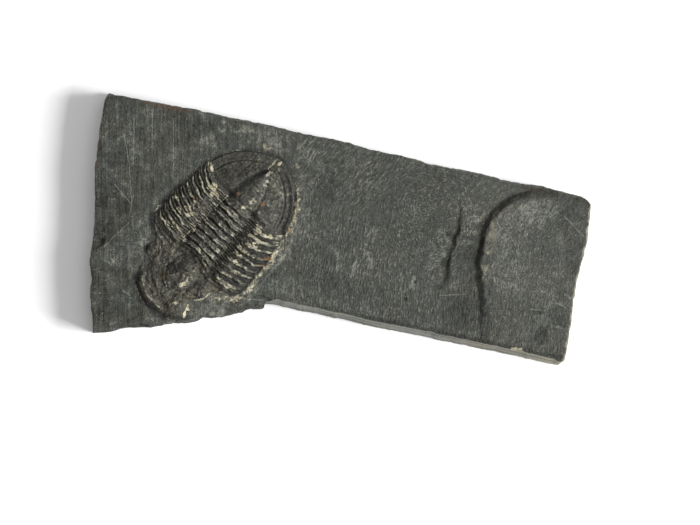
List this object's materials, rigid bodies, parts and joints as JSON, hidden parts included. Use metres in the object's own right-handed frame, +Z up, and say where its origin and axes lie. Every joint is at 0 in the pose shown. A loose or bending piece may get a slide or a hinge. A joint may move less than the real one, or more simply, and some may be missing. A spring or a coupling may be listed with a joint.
{
  "type": "trilobite fossil",
  "caption": "Flat slab of dark grey shale with a stepped bedding face, holding the plates of a trilobite moult in low relief; it lies flat on its underside.",
  "frame": {"origin": "under the middle of the bounding box, on the plane that the slab rests on", "axes": "+X along the slab towards its raised end block, +Y across it towards the straight upper edge, +Z up out of the bedding face that shows the fossil"},
  "size_m": [0.1261, 0.0683, 0.0116],
  "materials": {
    "shale": "matte",
    "shell": "satin"
  },
  "bodies": {
    "root": {"slab": "shale", "head_shield": "shell", "thorax_segment_1": "shell", "thorax_segment_2": "shell", "thorax_segment_3": "shell", "thorax_segment_4": "shell", "thorax_segment_5": "shell", "thorax_segment_6": "shell", "thorax_segment_7": "shell", "thorax_segment_8": "shell", "thorax_segment_9": "shell", "tail_shield": "shell"}
  },
  "joints": []
}
